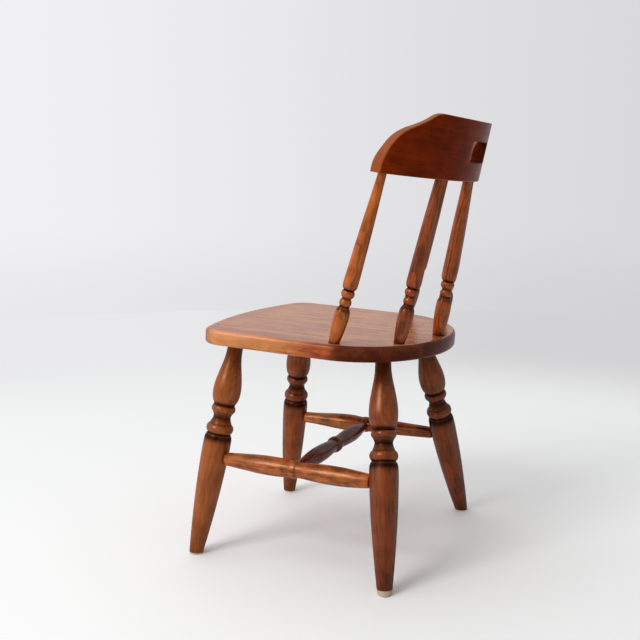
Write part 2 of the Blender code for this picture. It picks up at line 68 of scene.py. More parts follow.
# %% One function turns a grid into a finished piece
def make_piece(name, grid, marks, ring=False):
    """Mesh of a grid of points, shape (rows, columns, 3), with smooth shading.

    Neighbouring points join into quads. An open grid gets a point in the middle of its
    first and last rows, joined by triangles. marks holds arrays over the same grid. The
    signed volume, a sum of corner triple products, tells whether the faces point out.
    """
    rows, columns = grid.shape[:2]
    points = grid.reshape(-1, 3)
    row = np.arange(rows if ring else rows - 1)[:, None]
    column = np.arange(columns)[None, :]
    beside = (column + 1) % columns
    above = (row + 1) % rows
    corners = (row * columns + column, row * columns + beside,
               above * columns + beside, above * columns + column)
    quads = np.stack(np.broadcast_arrays(*corners), axis=-1).reshape(-1, 4)
    triangles = np.empty((0, 3), int)
    if not ring:
        first = np.arange(columns)
        following = (first + 1) % columns
        last = (rows - 1) * columns
        low = np.stack([following, first, np.full(columns, len(points))], axis=-1)
        high = np.stack([last + first, last + following,
                         np.full(columns, len(points) + 1)], axis=-1)
        triangles = np.concatenate([low, high])
        points = np.concatenate([points, grid[:1].mean(axis=1), grid[-1:].mean(axis=1)])
    a, b, c, d = (points[quads[:, k]] for k in range(4))
    volume = (a * np.cross(b, c)).sum() + (a * np.cross(c, d)).sum()
    e, f, g = (points[triangles[:, k]] for k in range(3))
    volume += (e * np.cross(f, g)).sum()
    if volume < 0:
        quads, triangles = quads[:, ::-1], triangles[:, ::-1]
    mesh = bpy.data.meshes.new(name)
    mesh.from_pydata(points.tolist(), [], quads.tolist() + triangles.tolist())
    mesh.polygons.foreach_set("use_smooth", np.ones(len(mesh.polygons), bool))
    for mark, values in marks.items():
        values = np.broadcast_to(values, grid.shape[:2] + values.shape[2:])
        flat = values.reshape((rows * columns,) + values.shape[2:])
        if not ring:
            flat = np.concatenate([flat, values[:1].mean(axis=1), values[-1:].mean(axis=1)])
        kind, slot = ("FLOAT_VECTOR", "vector") if flat.ndim == 2 else ("FLOAT", "value")
        layer = mesh.attributes.new(mark, kind, "POINT")
        layer.data.foreach_set(slot, flat.astype(np.float32).ravel())
    piece = bpy.data.objects.new(name, mesh)
    bpy.context.scene.collection.objects.link(piece)
    return piece


def dress(piece, material):
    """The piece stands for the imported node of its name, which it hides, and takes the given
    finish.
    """
    piece.data.materials.append(material)
    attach(piece, "root")
    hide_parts(piece.name.removesuffix("_finish"))
    print(piece.name, len(piece.data.vertices), "points")

# %% [markdown]
# ## Stained wood, as a material
#
# The real chair is a pale, clearly grained wood, wiped with a red-brown stain and sealed
# with a satin lacquer. The stain sinks into the pores and gathers in the grooves, so
# those are darkest, and it wears thin on the ridges. Over that, painted shade is laid in
# some grooves, on the legs below the seat, where the spindles meet the seat, along the
# seat's back edge and in the rail's slot. Painted highlights and light are laid on the
# seat's edge and on the rail's edges and ends. A picture of wood wrapped round a leg would
# stretch and show seams. Instead each piece carries its own place in the blank it was
# cut from, and the growth rings are drawn there in three dimensions, so that the loops
# on a bulb and the streaks on a shaft come out by themselves.

# %% Colours and one helper for nodes
SMOOTH = {"interpolation_type": "SMOOTHSTEP"}


def linear(code):
    """Linear colour of an sRGB hex code, by the standard curve."""
    values = [int(code[k:k + 2], 16) / 255 for k in (1, 3, 5)]
    return (*(v / 12.92 if v <= 0.04045 else ((v + 0.055) / 1.055) ** 2.4
              for v in values), 1.0)


def add(tree, kind, inputs=(), output=0, **settings):
    """Add a node and return one of its outputs.

    kind is Blender's name for the node, without the "ShaderNode" in front. inputs are
    values or other nodes' outputs, in the order of the node's sockets or by their names
    or numbers. settings are the node's own properties.
    """
    made = tree.nodes.new("ShaderNode" + kind)
    for key, value in settings.items():
        setattr(made, key, value)
    for socket, value in inputs.items() if isinstance(inputs, dict) else enumerate(inputs):
        if isinstance(value, bpy.types.NodeSocket):
            tree.links.new(value, made.inputs[socket])
        else:
            made.inputs[socket].default_value = value
    return made.outputs[output]

# %% Growth rings, fibres and patches of stain
RING_WIDTH = 3.0 * MM
FIBRE_WIDTH = 2.2 * MM
FIBRE_DRAWN_OUT, STREAK_DRAWN_OUT = 0.05, 0.10
STAIN_PATCH = 45 * MM
SMALL_PATCH = STAIN_PATCH / 2.2
GRAIN_WANDER = 7 * MM


def grain(tree, blank, ring_width, streak_width):
    """Late wood of each year, fibres, fine and broad streaks, and patches of stain.

    A year is the distance from the pith in ring widths, bent by noise, which is how the
    weather of each year shows. It darkens towards its end, by an amount of its own.
    Fibres and streaks are noise drawn out along the grain. The fibres are drawn about
    twice as wide as real ones, to be seen at this distance.
    """
    bend = add(tree, "TexNoise", {"Vector": blank, "Scale": 1 / STAIN_PATCH,
                                  "Detail": 2.0}, "Color")
    bent = add(tree, "VectorMath", (bend, (GRAIN_WANDER,) * 3, blank),
               operation="MULTIPLY_ADD")
    from_pith = add(tree, "VectorMath", (bent, (1 / ring_width, 1 / ring_width, 0)),
                    operation="MULTIPLY")
    year = add(tree, "VectorMath", (from_pith,), "Value", operation="LENGTH")
    weather = add(tree, "TexNoise", {"Vector": blank, "Scale": 1 / (0.6 * STAIN_PATCH),
                                     "Detail": 2.0})
    year = add(tree, "Math", (weather, 2.2, year), operation="MULTIPLY_ADD")
    part = add(tree, "Math", (year,), operation="FRACT")
    darkens = add(tree, "MapRange", (part, 0.15, 0.85), **SMOOTH)
    stops = add(tree, "MapRange", (part, 1.0, 0.86), **SMOOTH)
    late = add(tree, "Math", (darkens, stops), operation="MULTIPLY")
    number = add(tree, "Math", (year,), operation="FLOOR")
    amount = add(tree, "TexWhiteNoise", {"W": number}, noise_dimensions="1D")
    amount = add(tree, "Math", (amount, 0.8, 0.2), operation="MULTIPLY_ADD")
    late = add(tree, "Math", (late, amount), operation="MULTIPLY")
    found = []
    for drawn_out, width, detail, low in ((FIBRE_DRAWN_OUT, FIBRE_WIDTH, 5.0, 0.36),
                                          (STREAK_DRAWN_OUT, streak_width, 3.0, 0.34),
                                          (1, SMALL_PATCH, 4.0, 0.34)):
        drawn = add(tree, "VectorMath", (blank, (1, 1, drawn_out)), operation="MULTIPLY")
        noise = add(tree, "TexNoise",
                    {"Vector": drawn, "Scale": 1 / width, "Detail": detail})
        found += [noise, add(tree, "MapRange", (noise, low, 0.66), **SMOOTH)]
    fibre, fine, _, broad, _, patch = found
    return late, fibre, fine, broad, patch

# %% The stain and the lacquer over the grain
STAIN_TINT, LACQUER_TINT = "#ff9c7c", "#ffc79a"
GRAIN_RELIEF = 0.12 * MM
BOARD_JUMP = (0.05, 0.05, 0.6)


def stained_wood(name, pale, deep, rings, gleam, low_gleam, fibres=0.45, patches=0.26,
                 ring_width=RING_WIDTH, streak_width=1.8 * FIBRE_WIDTH, sheen=0.22,
                 glaze_and_shade="#200803", bare_and_highlight="#b7a58e", board=None):
    """Stained and lacquered wood.

    The colour goes from pale to deep by a sum: rings, fibres and patches, each times its
    share, and the piece's own stain mark, which along the seat's edge is partly painted
    light and shade. Over it lie the stain's tint, then a dark colour for the glaze in the
    grooves and for painted shade, then a pale one for bare wood at a worn foot and for
    painted highlights and light on the seat's edge and on the rail's edges and ends. sheen
    is the roughness in the middle of its range, and gleam is how strongly the lacquer
    reflects.
    """
    material = bpy.data.materials.new(name)
    material.use_nodes = True
    tree = material.node_tree
    shader = tree.nodes["Principled BSDF"]
    blank = add(tree, "Attribute", output="Vector", attribute_name="blank")
    if board:
        # A wide seat is glued from boards, so the pattern jumps from board to board
        place = add(tree, "TexCoord", output="Object")
        step = add(tree, "VectorMath", (place, (1 / board, 0, 0)), operation="MULTIPLY")
        step = add(tree, "VectorMath", (step,), operation="FLOOR")
        number = add(tree, "VectorMath", (step, (1, 0, 0)), "Value", operation="DOT_PRODUCT")
        chance = add(tree, "TexWhiteNoise", {"W": number}, "Color", noise_dimensions="1D")
        blank = add(tree, "VectorMath", (chance, BOARD_JUMP, blank), operation="MULTIPLY_ADD")
    late, fibre, fine, broad, patch = grain(tree, blank, ring_width, streak_width)
    dark = add(tree, "Math", (late, rings), operation="MULTIPLY")
    for layer, share in ((fine, 0.5 * fibres), (broad, 0.5 * fibres), (patch, patches)):
        dark = add(tree, "Math", (layer, share, dark), operation="MULTIPLY_ADD")
    # The stain mark: along the seat's edge it also holds painted light and shade
    depth = add(tree, "Attribute", output="Fac", attribute_name="stain")
    dark = add(tree, "Math", (dark, depth), operation="ADD", use_clamp=True)
    # Where the stain went in deeper it is redder too
    redder = add(tree, "Math", (depth, 1.7), operation="MULTIPLY", use_clamp=True)
    # Where the dark colour lies: glaze in grooves and end grain, and painted shade on the legs,
    # the spindles and the rail's slot
    glaze_and_shade_mask = add(tree, "Attribute", output="Fac", attribute_name="glaze_and_shade")
    glaze_and_shade_share = add(tree, "Math", (patch, 0.25, 0.80), operation="MULTIPLY_ADD")
    glaze_and_shade_share = add(tree, "Math", (glaze_and_shade_share, glaze_and_shade_mask), operation="MULTIPLY", use_clamp=True)
    # Where the pale colour lies: bare wood at a worn foot, and painted highlights and light on
    # the seat's edge and on the rail's edges and ends
    wear_and_highlight = add(tree, "Attribute", output="Fac", attribute_name="wear_and_highlight")
    colour = linear(pale)
    for share, over, way in ((dark, deep, "MIX"), (redder, STAIN_TINT, "MULTIPLY"),
                             (glaze_and_shade_share, glaze_and_shade, "MIX"), (wear_and_highlight, bare_and_highlight, "MIX")):
        colour = add(tree, "Mix", {0: share, 6: colour, 7: linear(over)}, 2,
                     data_type="RGBA", blend_type=way)
    tree.links.new(colour, shader.inputs["Base Color"])
    gloss = add(tree, "MapRange", {"Value": fibre, "To Min": sheen - 0.07,
                                   "To Max": sheen + 0.09})
    tree.links.new(gloss, shader.inputs["Roughness"])
    relief = add(tree, "Math", (late, 0.3, fine), operation="MULTIPLY_ADD")
    bump = add(tree, "Bump", {"Height": relief, "Strength": 0.30, "Distance": GRAIN_RELIEF})
    tree.links.new(bump, shader.inputs["Normal"])
    # The lacquer has yellowed, so its gleam is warm. It is old and finely scratched, so at
    # a low angle it gleams less than a fresh coat: low_gleam is the share that is left.
    # It is duller too where stain has gathered under it, and where shade is painted
    facing = add(tree, "LayerWeight", {"Blend": 0.5}, "Facing")
    gleams = add(tree, "MapRange", (facing, 0.28, 0.68, gleam, gleam * low_gleam), **SMOOTH)
    duller = add(tree, "Math", (glaze_and_shade_mask, -0.92, 1.0), operation="MULTIPLY_ADD")
    gleams = add(tree, "Math", (gleams, duller), operation="MULTIPLY")
    tree.links.new(gleams, shader.inputs["Specular IOR Level"])
    shader.inputs["IOR"].default_value = 1.5
    shader.inputs["Specular Tint"].default_value = linear(LACQUER_TINT)
    print(name, "has", len(tree.nodes), "nodes")
    return material

# %% The five finishes
# Turned legs: a warm brown with long streaks, nearly black in the grooves, and a soft
# warm gleam down the side that the light meets
LEG_WOOD = stained_wood("stained_turned_leg", "#9c4e1d", "#390b03", rings=0.22, fibres=0.40,
                        sheen=0.27, gleam=0.75, low_gleam=0.1)
# Turned spindles: the most orange, with bold rings that show as loops on the vase
SPINDLE_WOOD = stained_wood("stained_turned_spindle", "#c05e1e", "#420e03", rings=0.50,
                            gleam=0.85, low_gleam=0.13)
# Turned stretchers: a thinner stain that took in patches, so they are paler and uneven
STRETCHER_WOOD = stained_wood("stained_turned_stretcher", "#bc6630", "#461204", rings=0.30,
                              fibres=0.50, patches=0.45, gleam=0.75, low_gleam=0.12)
# Flat seat board: the palest, in broad open streaks, with a pink painted highlight along
# its edge, and shiny when it is seen at a low angle
SEAT_BOARD = 76.2 * MM
SEAT_WOOD = stained_wood("stained_seat_board", "#cd8444", "#7a300e", glaze_and_shade="#3a0c03",
                         bare_and_highlight="#e09a80", rings=0.42, fibres=0.62, patches=0.16,
                         ring_width=5 * MM, streak_width=12 * MM, sheen=0.26, gleam=0.45,
                         low_gleam=0.85, board=SEAT_BOARD)
# Bent crest rail: the darkest, a deep red-brown through which little grain shows, under
# a lacquer that has gone dull
# Its pale orange is the painted highlight and light on the rail's eased edges and sawn ends
CREST_WOOD = stained_wood("stained_bent_rail", "#7e2804", "#440c01", bare_and_highlight="#d98a4c",
                          rings=0.20, fibres=0.35, patches=0.35, ring_width=4 * MM,
                          sheen=0.34, gleam=0.10, low_gleam=1.1)

# %% [markdown]
# ## Turned work
#
# The legs, stretchers and spindles are turned on a lathe: one outline carried round an
# axis. Blender's Screw modifier does that too. Here the outline is a formula instead, a
# smooth line through a few knots with beads laid over it, so that the same numbers can
# also say where the stain gathers: wherever the outline lies inside its own moving
# average.

# %% Outlines as formulas
BEAD_POWER = 0.7


def flowing(knots, places):
    """Smooth line through (place, value) knots that never overshoots them.

    Between knots it is the cubic with the slopes at both ends. A knot's slope is the
    harmonic mean of the slopes of the two chords beside it, or zero where they turn.
    """
    x, y = np.array(knots, float).T
    gap = np.diff(x)
    chord = np.diff(y) / gap
    agree = chord[:-1] * chord[1:] > 0
    total = np.where(agree, chord[:-1] + chord[1:], 1.0)
    inner = np.where(agree, 2 * chord[:-1] * chord[1:] / total, 0.0)
    slope = np.concatenate([chord[:1], inner, chord[-1:]])
    span = np.clip(np.searchsorted(x, places, side="right") - 1, 0, len(gap) - 1)
    u = np.clip((places - x[span]) / gap[span], 0, 1)
    rise = slope[span] * gap[span] * u * (1 - u) ** 2
    fall = slope[span + 1] * gap[span] * u ** 2 * (u - 1)
    return (y[span] * (1 + 2 * u) * (1 - u) ** 2 + rise
            + y[span + 1] * u ** 2 * (3 - 2 * u) + fall)


def beaded(knots, beads, places):
    """The flowing outline, with beads laid over it.

    A bead is (centre, half width, foot radius, top radius). Its radius is the foot plus
    the rise times (1 - away squared) to a power, where away is the distance from the
    bead's centre over its half width. A power of a half would be a half circle, and the
    gouge left the real beads a little more pointed than that.
    """
    radii = flowing(knots, places)
    for centre, half, foot, top in beads:
        away = (places - centre) / half
        arch = foot + (top - foot) * np.clip(1 - away ** 2, 0, 1) ** BEAD_POWER
        radii = np.where(np.abs(away) < 1, np.maximum(arch, foot), radii)
    return radii


def hollows(places, radii, window=9 * MM, depth=0.75 * MM):
    """How far the outline lies inside its moving average: 0 on ridges, 1 in grooves."""
    step = 0.2 * MM
    even = np.arange(places.min(), places.max(), step)
    line = np.interp(even, places, radii)
    reach = int(window / step / 2)
    weights = np.hanning(2 * reach + 1)
    wide = np.pad(line, reach, mode="edge")
    mean = np.convolve(wide, weights / weights.sum(), mode="valid")
    return np.clip(np.interp(places, even, mean - line) / depth, 0, 1)


def rows_for(length, fine):
    """Row places along a piece: close together in the fine stretches, wider elsewhere."""
    wide, close = 1.6 * MM, 0.4 * MM
    tight = [np.arange(low, high, close) for low, high in fine]
    return np.unique(np.concatenate([np.arange(0, length, wide), [length], *tight]))

# %% Find each turned piece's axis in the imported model
RING_SLACK, FLOOR_SLACK = 0.5 * MM, 0.1 * MM


def node_points(node):
    """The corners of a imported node, each once, in metres."""
    mesh = frame["nodes"][node].data
    found = np.empty(len(mesh.vertices) * 3, np.float32)
    mesh.vertices.foreach_get("co", found)
    return np.unique(np.round(found.reshape(-1, 3).astype(float), 6), axis=0)


def axis_ends(node, stands=False):
    """Middles of the two end rings of a turned node, the lower or more negative first.

    The long direction is the first singular vector of the corners. A ring is the corners
    within the slack of the furthest one, or those on the floor where the piece stands.
    """
    corners = node_points(node)
    middle = corners.mean(axis=0)
    along = np.linalg.svd(corners - middle, full_matrices=False)[2][0]
    along = along * np.sign(along[np.argmax(np.abs(along))])
    reach = (corners - middle) @ along
    low = corners[:, 2] < FLOOR_SLACK if stands else reach < reach.min() + RING_SLACK
    high = reach > reach.max() - RING_SLACK
    return corners[low].mean(axis=0), corners[high].mean(axis=0)

# %% One turning function for all twelve turned pieces
CHANCE = np.random.default_rng(7)
# The side that the photograph shows, as a direction on the floor
SHOWN_SIDE = np.array([0.91, 0.40, 0.0])
FOOT_ROUNDING, END_ROUNDING = 1.8 * MM, 0.8 * MM
END_ROWS, SLIDE_HEIGHT = 1.5 * MM, 30 * MM
# Where the pith may lie off the axis, in radians and mm, how far the grain may lean, and
# the length of tree that the blanks came from, in metres
PITH_TURN, PITH_NEAR, PITH_FAR = 0.8, 22, 40
GRAIN_LEAN, TREE_LENGTH = 0.05, 2


def turned(name, ends, outline, fine, stain, columns=72, stands=False, tip=0.0,
           extra_glaze_and_shade=None):
    """Carry an outline round the axis between two points.

    A point is start + s * direction + r(s) * (cos a * side + sin a * across). Where a leg
    stands, the lowest rows are slid along the axis by just enough to lie level with the
    floor, and the slide fades out above. The ends are rounded by a quarter circle. tip is
    the height of bare wood at the foot. The fifth argument says how much deeper than the
    average the piece took the stain, as one number or as one for each end. The last one
    adds glaze and painted shade by place along the piece.
    """
    start, end = (np.array(point) for point in ends)
    length = np.linalg.norm(end - start)
    direction = (end - start) / length
    side = np.cross(direction, np.eye(3)[np.argmin(np.abs(direction))])
    side /= np.linalg.norm(side)
    across = np.cross(direction, side)
    angle = np.linspace(0, math.tau, columns, endpoint=False)
    spoke = np.cos(angle)[:, None] * side + np.sin(angle)[:, None] * across
    places = rows_for(length, list(fine) + [(0, END_ROWS), (length - END_ROWS, length)])
    s = np.repeat(places[:, None], columns, axis=1)
    if stands:
        fade = np.clip(1 - places / SLIDE_HEIGHT, 0, 1)[:, None] ** 2
        s = s - fade * outline(np.zeros(1)) * spoke[:, 2] / direction[2]
    ease = np.where(stands & (places < length / 2), FOOT_ROUNDING, END_ROUNDING)
    near_end = np.minimum(places, length - places)
    edge = ease - np.sqrt(ease ** 2 - np.clip(ease - near_end, 0, ease) ** 2)
    radii = outline(s) - edge[:, None]
    grid = start + s[..., None] * direction + radii[..., None] * spoke
    if stands:
        grid[0, :, 2] = 0.0
    glaze_and_shade = hollows(places, outline(places))
    # More glaze and painted shade, as the piece gives them
    if extra_glaze_and_shade is not None:
        glaze_and_shade = np.clip(glaze_and_shade + extra_glaze_and_shade(places), 0, 1)
    # The tree's middle lies off the turned axis, behind the side that is shown, and the
    # grain runs a little out of true, which is what opens the rings into loops on a bulb
    turn = math.atan2(SHOWN_SIDE @ across, SHOWN_SIDE @ side)
    turn += CHANCE.uniform(-PITH_TURN, PITH_TURN)
    from_pith = CHANCE.uniform(PITH_NEAR, PITH_FAR) * MM
    pith = from_pith * np.array([math.cos(turn), math.sin(turn)])
    lean = CHANCE.uniform(-GRAIN_LEAN, GRAIN_LEAN, 2)
    shift = CHANCE.uniform(0, TREE_LENGTH)
    local = np.stack([radii * np.cos(angle) + pith[0] + lean[0] * s,
                      radii * np.sin(angle) + pith[1] + lean[1] * s, s + shift], axis=-1)
    marks = {"blank": local, "glaze_and_shade": glaze_and_shade[:, None],
             "wear_and_highlight": (places < tip)[:, None].astype(float),
             "stain": np.interp(s / length, (0, 1), np.broadcast_to(stain, 2))}
    return make_piece(name, grid, marks)

# %% [markdown]
# ## Legs
#
# The same turning four times: a tapered shaft with a rounded shoulder, a groove, a bold
# ring, a waist, a smaller ring, and a bulb that narrows to the seat. The foot is cut
# level with the floor although the leg leans. The knots are distances from the floor
# along the axis and radii, in millimetres. They were turned by eye, so the rings stand a
# few millimetres higher on one leg than on the next.

# %% Turn the legs
LEG_KNOTS = (
    (0, 8.95), (14, 10.45), (32, 12.25), (50, 13.8), (68, 15.2), (87, 16.45), (106, 17.4),
    (125, 18.05), (140, 18.42), (149, 18.35), (155, 18.0), (158.6, 17.2), (160.8, 16.2),
    (162.2, 15.2), (175.0, 14.6), (177.5, 13.5), (180.6, 12.3), (184.1, 11.5), (187, 12.0),
    (189, 13.0), (190.4, 13.6), (199.8, 14.0), (201.4, 14.1), (203.1, 14.8), (204.6, 15.7),
    (207.6, 16.85), (210.6, 17.55), (215, 18.2), (221, 18.5), (228, 18.1), (236, 17.0),
    (244, 15.45), (252, 13.75), (260, 12.05), (266, 11.1), (272, 10.5), (280, 10.2),
    (290.3, 10.1), (315, 10.1),
)
LEG_BEADS = ((168.6, 6.3, 14.6, 18.0), (195.2, 4.9, 13.3, 15.9))
LEG_RISE = ((0, 0), (125, 0), (156, 1), (205, 1), (222, 0.6), (262, 0), (315, 0))


def leg_outline(rise):
    """Radius along a leg whose rings stand that much higher than the average."""
    def outline(s):
        return beaded(LEG_KNOTS, LEG_BEADS, (s - rise * flowing(LEG_RISE, s / MM)) / MM) * MM
    return outline


def leg_shade_and_stain(s, rise):
    """Darkening below the seat, on the waist, over the shaft's shoulder, at the collar below
    the bulb and towards the foot. Below the seat, and on the waist under the smaller ring,
    it is painted shade.

    Each is a bell curve, or a ramp at the ends, with its place and width in millimetres.
    """
    place = (s - rise * flowing(LEG_RISE, s / MM)) / MM
    # Painted shade below the seat
    neck = np.clip((place - 234) / 40, 0, 1) * 0.7
    # Painted shade on the waist, under the smaller ring
    waist = np.exp(-((place - 183) / 7) ** 2) * 0.75
    shoulder = np.exp(-((place - 157) / 6) ** 2) * 1.0
    collar = np.exp(-((place - 202) / 3.4) ** 2) * 0.8
    foot = np.clip(1 - place / 70, 0, 1) * 0.42
    return neck + waist + shoulder + collar + foot


# Each leg's height of bare wood at the foot and how much higher its rings stand, in mm, and
# its stain, as one number or as a pair for the foot and the top
LEG_MARKS = {"leg_rear_left": (6.2, -3.4, (0.34, 0.08)),
             "leg_front_left": (2.4, 2.4, -0.14),
             "leg_front_right": (1.6, -1.1, (0.08, 0.34)),
             "leg_rear_right": (0.0, 2.5, 0.32)}
for leg, (tip, rise, stain) in LEG_MARKS.items():
    piece = turned(leg + "_finish", axis_ends(leg, stands=True), leg_outline(rise * MM),
                   [(145 * MM, 215 * MM), (0, 8 * MM)], stain, columns=96, stands=True,
                   tip=tip * MM, extra_glaze_and_shade=lambda s: leg_shade_and_stain(s, rise * MM))
    dress(piece, LEG_WOOD)

# %% [markdown]
# ## Stretchers
#
# Two side stretchers tie the front and rear legs, and one cross stretcher ties those.
# Each swells on both sides of a bead in its middle, and not quite alike, since they too
# were turned by eye. A knot is a share of the distance from bead to shoulder and a
# radius in millimetres. A bead is given as it is for a leg, from its own middle, and
# stands a little off the stretcher's.

# %% Turn the stretchers
SIDE_FRONT = ((0, 11.0), (0.060, 10.7), (0.08, 10.8), (0.13, 11.3), (0.19, 11.9), (0.27, 12.2),
              (0.36, 12.15), (0.46, 11.5), (0.56, 10.8), (0.66, 9.9), (0.76, 9.2), (0.86, 8.6),
              (0.95, 8.25), (0.98, 8.0), (0.993, 7.5), (1.0, 6.7))
LEFT_FRONT = ((0, 11.0), (0.060, 10.7), (0.08, 10.9), (0.13, 11.6), (0.19, 12.2), (0.28, 12.5),
              (0.37, 12.5), (0.46, 12.3), (0.56, 11.8), (0.66, 11.1), (0.77, 10.3), (0.86, 9.6),
              (0.95, 8.9), (0.975, 8.6), (0.99, 8.0), (1.0, 6.9))
SIDE_REAR = ((0, 10.6), (0.060, 10.3), (0.10, 10.2), (0.15, 10.4), (0.20, 10.9), (0.30, 11.6),
             (0.40, 12.1), (0.50, 12.2), (0.60, 12.15), (0.70, 11.7), (0.80, 10.9),
             (0.90, 9.9), (0.96, 9.2), (0.985, 8.7), (0.995, 8.2), (1.0, 7.4))
SLIM_REAR = ((0, 10.6), (0.060, 10.3), (0.10, 10.2), (0.20, 10.7), (0.32, 11.0), (0.45, 10.4),
             (0.57, 9.8), (0.70, 9.3), (0.85, 8.8), (0.95, 8.4), (0.98, 8.1), (0.993, 7.6),
             (1.0, 6.7))
SIDE_BEAD = (0, 4.6, 10.8, 11.5)
CROSS_RIGHT = ((0, 9.0), (0.10, 8.95), (0.20, 9.6), (0.32, 10.3), (0.42, 10.7), (0.53, 11.0),
               (0.61, 10.7), (0.70, 9.9), (0.78, 8.8), (0.87, 7.5), (0.95, 6.7), (1.0, 5.6))
CROSS_LEFT = ((0, 9.0), (0.10, 8.95), (0.20, 9.8), (0.30, 10.6), (0.43, 11.1), (0.55, 11.0),
              (0.66, 10.4), (0.78, 9.3), (0.90, 8.0), (0.97, 7.1), (1.0, 5.8))
CROSS_BEAD = (0, 7.2, 9.0, 11.3)
SIDE_SHOULDER, CROSS_SHOULDER = 12.6 * MM, 7.3 * MM


def span_outline(low, high, bead, middle, ends, tenon):
    """Radius along a stretcher, from its low and high halves' knots and its bead.

    The bead is a half ellipse over the body, and past the shoulders is the bare tenon.
    """
    def outline(s):
        upper = s > middle
        half = np.where(upper, ends[1] - middle, middle - ends[0])
        share = np.abs(s - middle) / half
        body = np.where(upper, flowing(high, share), flowing(low, share))
        away = (s - middle) / MM / bead[1]
        arch = bead[2] + (bead[3] - bead[2]) * np.sqrt(np.clip(1 - away ** 2, 0, 1))
        body = np.where(np.abs(away) < 1, arch, body)
        return np.where(share < 1, np.maximum(body, tenon), tenon) * MM
    return outline


cross_ends = axis_ends("cross_stretcher")
for side, cross_end, front, rear, stain in (
        ("right", cross_ends[0], SIDE_FRONT, SLIM_REAR, (-0.18, 0.36)),
        ("left", cross_ends[1], LEFT_FRONT, SIDE_REAR, -0.06)):
    node = "side_stretcher_" + side
    start, end = axis_ends(node)
    length = np.linalg.norm(end - start)
    bead = (cross_end - start) @ (end - start) / length - 1.0 * MM
    outline = span_outline(front, rear, SIDE_BEAD, bead,
                           (SIDE_SHOULDER, length - SIDE_SHOULDER), 6.2)
    piece = turned(node + "_finish", (start, end), outline,
                   [(bead - 8 * MM, bead + 8 * MM), (12 * MM, 20 * MM),
                    (length - 20 * MM, length - 12 * MM)], stain)
    dress(piece, STRETCHER_WOOD)

length = np.linalg.norm(cross_ends[1] - cross_ends[0])
middle = length / 2 - 4.5 * MM
outline = span_outline(CROSS_RIGHT, CROSS_LEFT, CROSS_BEAD, middle,
                       (CROSS_SHOULDER, length - CROSS_SHOULDER), 4.8)
piece = turned("cross_stretcher_finish", cross_ends, outline,
               [(middle - 10 * MM, middle + 10 * MM), (6 * MM, 12 * MM),
                (length - 12 * MM, length - 6 * MM)], 0.5)
dress(piece, STRETCHER_WOOD)

# %% [markdown]
# ## Where the seat lies
#
# The record says where the middle of the seat's top is and which way it faces, and where
# the feet stand. The board's own frame follows from those: x across the chair, y back
# along the slope, and z square to the board from its underside.

# %% The seat's frame
mounts = {mount["name"]: mount for mount in frame["record"]["mounts"]}
SEAT_TOP_POINT = np.array(mounts["seat_top"]["pos_m"])
SEAT_NORMAL = np.array(mounts["seat_top"]["axis"])
SEAT_THICKNESS = 20 * MM
feet = np.array([mount["pos_m"] for name, mount in mounts.items() if name.startswith("foot")])
FEET_MIDDLE = feet[:, 1].mean()
BACKWARDS = np.array([0.0, SEAT_NORMAL[2], -SEAT_NORMAL[1]])
top_y = FEET_MIDDLE + SEAT_THICKNESS * SEAT_NORMAL[1]
top_z = SEAT_TOP_POINT[2] + (top_y - SEAT_TOP_POINT[1]) * BACKWARDS[2] / BACKWARDS[1]
SEAT_ORIGIN = np.array([0.0, top_y, top_z]) - SEAT_THICKNESS * SEAT_NORMAL
print("seat slopes", round(math.degrees(math.asin(SEAT_NORMAL[1])), 3), "degrees")

# %% [markdown]
# ## Spindles
#
# Each spindle stands in the seat on a vase shape with two rings over it, then tapers
# evenly up to the rail. The knots are heights above the seat top along the axis.

# %% Turn the spindles
VASE_KNOTS = (
    (-20, 6.8), (0, 6.85), (3, 7.1), (10, 8.0), (20, 9.05), (29, 9.6), (35, 9.7), (40, 9.45),
    (44, 8.8), (47, 7.5), (49.2, 6.3), (50.4, 6.1), (58.2, 6.1), (59.9, 5.8), (61.0, 6.3),
    (70.2, 6.4), (71.3, 7.5), (72.9, 8.6), (74.9, 9.2), (78, 9.5), (84, 9.5), (92, 9.35),
    (110, 8.85), (130, 8.35), (150, 7.75), (170, 6.95), (190, 6.15), (207, 5.55),
    (226, 5.3), (270, 5.3),
)
VASE_BEADS = ((54.3, 4.0, 6.1, 7.6), (65.6, 4.6, 6.2, 8.5))
VASE_RISE = ((-20, 0), (20, 0), (45, 1), (76, 1), (130, 0), (270, 0))


def spindle_outline(depth, rise, fullness):
    """Radius along a spindle that goes into the seat by that depth."""
    def outline(s):
        height = (s - depth) / MM
        return beaded(VASE_KNOTS, VASE_BEADS, height - rise * flowing(VASE_RISE, height)
                      ) * fullness * MM
    return outline


def vase_shade_and_stain(s, depth, rise):
    """Darkening where the vase meets the seat, at its neck, under the shaft and towards the
    top. Where it meets the seat and under the shaft it is painted shade.
    """
    height = (s - depth) / MM
    height = height - rise * flowing(VASE_RISE, height)
    # Painted shade at the seat and under the shaft, and darkening at the neck and near the top
    return (np.exp(-np.abs(height) / 5) * 0.8 + np.exp(-((height - 46) / 3.5) ** 2) * 0.7
            + np.exp(-((height - 71.5) / 2.5) ** 2) * 0.5
            + np.clip((height - 185) / 40, 0, 1) * 0.3)


